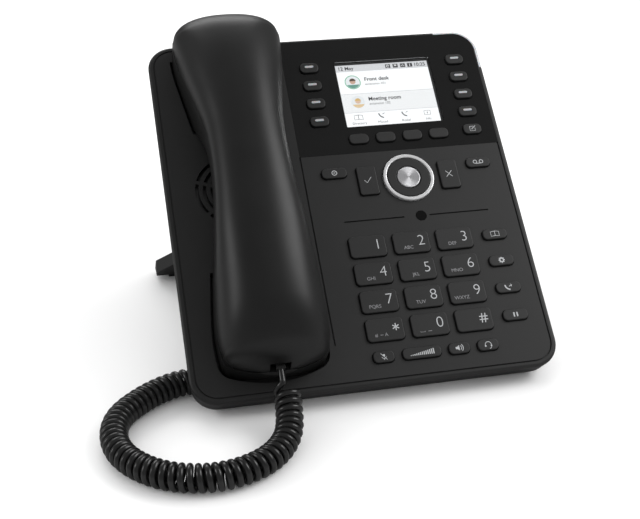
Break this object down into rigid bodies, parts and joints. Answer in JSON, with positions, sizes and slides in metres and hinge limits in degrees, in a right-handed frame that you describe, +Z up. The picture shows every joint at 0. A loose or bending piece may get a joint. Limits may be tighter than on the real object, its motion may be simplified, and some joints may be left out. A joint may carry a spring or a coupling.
{
  "type": "desk ip phone",
  "caption": "Desk telephone with a curly-corded handset, colour display, dial pad and navigation keys, standing on a plug-in rear stand.",
  "frame": {"origin": "middle of the footprint's bounding box at desk level, without the cord", "axes": "+X to the user's right, +Y away from the user, +Z up"},
  "size_m": [0.2365, 0.236, 0.1661],
  "materials": {
    "housing_black": "fine matt texture",
    "faceplate_gloss": "polished",
    "handset_satin": "satin",
    "key_black": "fine matt texture",
    "trim_chrome": "polished",
    "spun_metal": "spun",
    "lens_clear": "clear",
    "light_bar_white": "translucent",
    "display_panel": "backlit",
    "circuit_board": "solder mask",
    "keypad_silicone": "silicone",
    "speaker_metal": "satin",
    "foot_rubber": "matt",
    "screw_steel": "zinc plated",
    "hook_plastic": "moulded",
    "cord_jacket": "glossy",
    "plug_clear": "moulded"
  },
  "bodies": {
    "housing": {"front_housing": "housing_black", "rear_cover": "housing_black", "display_faceplate": "faceplate_gloss", "window_lenses": "lens_clear", "lcd_module": "display_panel", "light_bar": "light_bar_white", "loudspeaker": "speaker_metal", "main_board": "circuit_board", "keypad_membrane": "keypad_silicone", "base_feet": "foot_rubber", "housing_screws": "screw_steel", "handset_cord": "cord_jacket", "cord_plug_base": "plug_clear"},
    "handset": {"handset_outer_shell": "handset_satin", "handset_inner_shell": "handset_satin", "handset_electronics": "speaker_metal", "cord_plug_handset": "plug_clear"},
    "hook_switch": {"hook_switch": "hook_plastic"},
    "stand": {"stand": "housing_black", "stand_feet": "foot_rubber"},
    "dial_key_1": {"dial_key_1": "key_black"},
    "dial_key_2": {"dial_key_2": "key_black"},
    "dial_key_3": {"dial_key_3": "key_black"},
    "dial_key_4": {"dial_key_4": "key_black"},
    "dial_key_5": {"dial_key_5": "key_black"},
    "dial_key_6": {"dial_key_6": "key_black"},
    "dial_key_7": {"dial_key_7": "key_black"},
    "dial_key_8": {"dial_key_8": "key_black"},
    "dial_key_9": {"dial_key_9": "key_black"},
    "dial_key_star": {"dial_key_star": "key_black"},
    "dial_key_0": {"dial_key_0": "key_black"},
    "dial_key_hash": {"dial_key_hash": "key_black"},
    "function_key_1": {"function_key_1": "key_black"},
    "function_key_2": {"function_key_2": "key_black"},
    "function_key_3": {"function_key_3": "key_black"},
    "function_key_4": {"function_key_4": "key_black"},
    "function_key_5": {"function_key_5": "key_black"},
    "function_key_6": {"function_key_6": "key_black"},
    "function_key_7": {"function_key_7": "key_black"},
    "function_key_8": {"function_key_8": "key_black"},
    "page_key": {"page_key": "key_black"},
    "soft_key_1": {"soft_key_1": "key_black"},
    "soft_key_2": {"soft_key_2": "key_black"},
    "soft_key_3": {"soft_key_3": "key_black"},
    "soft_key_4": {"soft_key_4": "key_black"},
    "dnd_key": {"dnd_key": "key_black"},
    "voicemail_key": {"voicemail_key": "key_black"},
    "confirm_key": {"confirm_key": "key_black"},
    "cancel_key": {"cancel_key": "key_black"},
    "directory_key": {"directory_key": "key_black"},
    "settings_key": {"settings_key": "key_black"},
    "transfer_key": {"transfer_key": "key_black"},
    "hold_key": {"hold_key": "key_black"},
    "mute_key": {"mute_key": "key_black"},
    "volume_key": {"volume_key": "key_black"},
    "speaker_key": {"speaker_key": "key_black"},
    "headset_key": {"headset_key": "key_black"},
    "ok_button": {"ok_button": "spun_metal"},
    "nav_trim_ring": {"nav_trim_ring": "trim_chrome"},
    "nav_pad": {"nav_pad": "key_black"}
  },
  "joints": [
    {"name": "handset_lift", "type": "slide", "parent": "housing", "child": "handset", "axis": [0, -0.6428, 0.766], "range_m": [0, 0.08]},
    {"name": "hook_switch_travel", "type": "slide", "parent": "housing", "child": "hook_switch", "axis": [0, -0.6428, 0.766], "range_m": [0, 0.0025]},
    {"name": "stand_release", "type": "slide", "parent": "housing", "child": "stand", "axis": [0, -0.766, -0.6428], "range_m": [0, 0.008]},
    {"name": "dial_key_1_press", "type": "slide", "parent": "housing", "child": "dial_key_1", "axis": [0, 0.6428, -0.766], "range_m": [0, 0.001], "stiffness_N_per_m": 600, "springref_m": -0.0005},
    {"name": "dial_key_2_press", "type": "slide", "parent": "housing", "child": "dial_key_2", "axis": [0, 0.6428, -0.766], "range_m": [0, 0.001], "stiffness_N_per_m": 600, "springref_m": -0.0005},
    {"name": "dial_key_3_press", "type": "slide", "parent": "housing", "child": "dial_key_3", "axis": [0, 0.6428, -0.766], "range_m": [0, 0.001], "stiffness_N_per_m": 600, "springref_m": -0.0005},
    {"name": "dial_key_4_press", "type": "slide", "parent": "housing", "child": "dial_key_4", "axis": [0, 0.6428, -0.766], "range_m": [0, 0.001], "stiffness_N_per_m": 600, "springref_m": -0.0005},
    {"name": "dial_key_5_press", "type": "slide", "parent": "housing", "child": "dial_key_5", "axis": [0, 0.6428, -0.766], "range_m": [0, 0.001], "stiffness_N_per_m": 600, "springref_m": -0.0005},
    {"name": "dial_key_6_press", "type": "slide", "parent": "housing", "child": "dial_key_6", "axis": [0, 0.6428, -0.766], "range_m": [0, 0.001], "stiffness_N_per_m": 600, "springref_m": -0.0005},
    {"name": "dial_key_7_press", "type": "slide", "parent": "housing", "child": "dial_key_7", "axis": [0, 0.6428, -0.766], "range_m": [0, 0.001], "stiffness_N_per_m": 600, "springref_m": -0.0005},
    {"name": "dial_key_8_press", "type": "slide", "parent": "housing", "child": "dial_key_8", "axis": [0, 0.6428, -0.766], "range_m": [0, 0.001], "stiffness_N_per_m": 600, "springref_m": -0.0005},
    {"name": "dial_key_9_press", "type": "slide", "parent": "housing", "child": "dial_key_9", "axis": [0, 0.6428, -0.766], "range_m": [0, 0.001], "stiffness_N_per_m": 600, "springref_m": -0.0005},
    {"name": "dial_key_star_press", "type": "slide", "parent": "housing", "child": "dial_key_star", "axis": [0, 0.6428, -0.766], "range_m": [0, 0.001], "stiffness_N_per_m": 600, "springref_m": -0.0005},
    {"name": "dial_key_0_press", "type": "slide", "parent": "housing", "child": "dial_key_0", "axis": [0, 0.6428, -0.766], "range_m": [0, 0.001], "stiffness_N_per_m": 600, "springref_m": -0.0005},
    {"name": "dial_key_hash_press", "type": "slide", "parent": "housing", "child": "dial_key_hash", "axis": [0, 0.6428, -0.766], "range_m": [0, 0.001], "stiffness_N_per_m": 600, "springref_m": -0.0005},
    {"name": "function_key_1_press", "type": "slide", "parent": "housing", "child": "function_key_1", "axis": [0, 0.6428, -0.766], "range_m": [0, 0.001], "stiffness_N_per_m": 600, "springref_m": -0.0005},
    {"name": "function_key_2_press", "type": "slide", "parent": "housing", "child": "function_key_2", "axis": [0, 0.6428, -0.766], "range_m": [0, 0.001], "stiffness_N_per_m": 600, "springref_m": -0.0005},
    {"name": "function_key_3_press", "type": "slide", "parent": "housing", "child": "function_key_3", "axis": [0, 0.6428, -0.766], "range_m": [0, 0.001], "stiffness_N_per_m": 600, "springref_m": -0.0005},
    {"name": "function_key_4_press", "type": "slide", "parent": "housing", "child": "function_key_4", "axis": [0, 0.6428, -0.766], "range_m": [0, 0.001], "stiffness_N_per_m": 600, "springref_m": -0.0005},
    {"name": "function_key_5_press", "type": "slide", "parent": "housing", "child": "function_key_5", "axis": [0, 0.6428, -0.766], "range_m": [0, 0.001], "stiffness_N_per_m": 600, "springref_m": -0.0005},
    {"name": "function_key_6_press", "type": "slide", "parent": "housing", "child": "function_key_6", "axis": [0, 0.6428, -0.766], "range_m": [0, 0.001], "stiffness_N_per_m": 600, "springref_m": -0.0005},
    {"name": "function_key_7_press", "type": "slide", "parent": "housing", "child": "function_key_7", "axis": [0, 0.6428, -0.766], "range_m": [0, 0.001], "stiffness_N_per_m": 600, "springref_m": -0.0005},
    {"name": "function_key_8_press", "type": "slide", "parent": "housing", "child": "function_key_8", "axis": [0, 0.6428, -0.766], "range_m": [0, 0.001], "stiffness_N_per_m": 600, "springref_m": -0.0005},
    {"name": "page_key_press", "type": "slide", "parent": "housing", "child": "page_key", "axis": [0, 0.6428, -0.766], "range_m": [0, 0.001], "stiffness_N_per_m": 600, "springref_m": -0.0005},
    {"name": "soft_key_1_press", "type": "slide", "parent": "housing", "child": "soft_key_1", "axis": [0, 0.6428, -0.766], "range_m": [0, 0.001], "stiffness_N_per_m": 600, "springref_m": -0.0005},
    {"name": "soft_key_2_press", "type": "slide", "parent": "housing", "child": "soft_key_2", "axis": [0, 0.6428, -0.766], "range_m": [0, 0.001], "stiffness_N_per_m": 600, "springref_m": -0.0005},
    {"name": "soft_key_3_press", "type": "slide", "parent": "housing", "child": "soft_key_3", "axis": [0, 0.6428, -0.766], "range_m": [0, 0.001], "stiffness_N_per_m": 600, "springref_m": -0.0005},
    {"name": "soft_key_4_press", "type": "slide", "parent": "housing", "child": "soft_key_4", "axis": [0, 0.6428, -0.766], "range_m": [0, 0.001], "stiffness_N_per_m": 600, "springref_m": -0.0005},
    {"name": "dnd_key_press", "type": "slide", "parent": "housing", "child": "dnd_key", "axis": [0, 0.6428, -0.766], "range_m": [0, 0.001], "stiffness_N_per_m": 600, "springref_m": -0.0005},
    {"name": "voicemail_key_press", "type": "slide", "parent": "housing", "child": "voicemail_key", "axis": [0, 0.6428, -0.766], "range_m": [0, 0.001], "stiffness_N_per_m": 600, "springref_m": -0.0005},
    {"name": "confirm_key_press", "type": "slide", "parent": "housing", "child": "confirm_key", "axis": [0, 0.6428, -0.766], "range_m": [0, 0.001], "stiffness_N_per_m": 600, "springref_m": -0.0005},
    {"name": "cancel_key_press", "type": "slide", "parent": "housing", "child": "cancel_key", "axis": [0, 0.6428, -0.766], "range_m": [0, 0.001], "stiffness_N_per_m": 600, "springref_m": -0.0005},
    {"name": "directory_key_press", "type": "slide", "parent": "housing", "child": "directory_key", "axis": [0, 0.6428, -0.766], "range_m": [0, 0.001], "stiffness_N_per_m": 600, "springref_m": -0.0005},
    {"name": "settings_key_press", "type": "slide", "parent": "housing", "child": "settings_key", "axis": [0, 0.6428, -0.766], "range_m": [0, 0.001], "stiffness_N_per_m": 600, "springref_m": -0.0005},
    {"name": "transfer_key_press", "type": "slide", "parent": "housing", "child": "transfer_key", "axis": [0, 0.6428, -0.766], "range_m": [0, 0.001], "stiffness_N_per_m": 600, "springref_m": -0.0005},
    {"name": "hold_key_press", "type": "slide", "parent": "housing", "child": "hold_key", "axis": [0, 0.6428, -0.766], "range_m": [0, 0.001], "stiffness_N_per_m": 600, "springref_m": -0.0005},
    {"name": "mute_key_press", "type": "slide", "parent": "housing", "child": "mute_key", "axis": [0, 0.6428, -0.766], "range_m": [0, 0.001], "stiffness_N_per_m": 600, "springref_m": -0.0005},
    {"name": "volume_key_rock", "type": "hinge", "parent": "housing", "child": "volume_key", "pos_m": [0.0226, -0.0753, 0.01767], "axis": [0, 0.766, 0.6428], "range_deg": [-2.5, 2.5], "stiffness_Nm_per_rad": 0.3},
    {"name": "speaker_key_press", "type": "slide", "parent": "housing", "child": "speaker_key", "axis": [0, 0.6428, -0.766], "range_m": [0, 0.001], "stiffness_N_per_m": 600, "springref_m": -0.0005},
    {"name": "headset_key_press", "type": "slide", "parent": "housing", "child": "headset_key", "axis": [0, 0.6428, -0.766], "range_m": [0, 0.001], "stiffness_N_per_m": 600, "springref_m": -0.0005},
    {"name": "ok_button_press", "type": "slide", "parent": "housing", "child": "ok_button", "axis": [0, 0.6428, -0.766], "range_m": [0, 0.001], "stiffness_N_per_m": 600, "springref_m": -0.0005},
    {"name": "navigation_up_down", "type": "hinge", "parent": "housing", "child": "nav_trim_ring", "pos_m": [0.0364, 0.00107, 0.08176], "axis": [1, 0, 0], "range_deg": [-2.5, 2.5], "stiffness_Nm_per_rad": 0.3},
    {"name": "navigation_left_right", "type": "hinge", "parent": "nav_trim_ring", "child": "nav_pad", "pos_m": [0.0364, 0.00107, 0.08176], "axis": [0, 0.766, 0.6428], "range_deg": [-2.5, 2.5], "stiffness_Nm_per_rad": 0.3}
  ],
  "couplings": [
    {"joint": "hook_switch_travel", "follows": "handset_lift", "ratio": 0.03125}
  ]
}
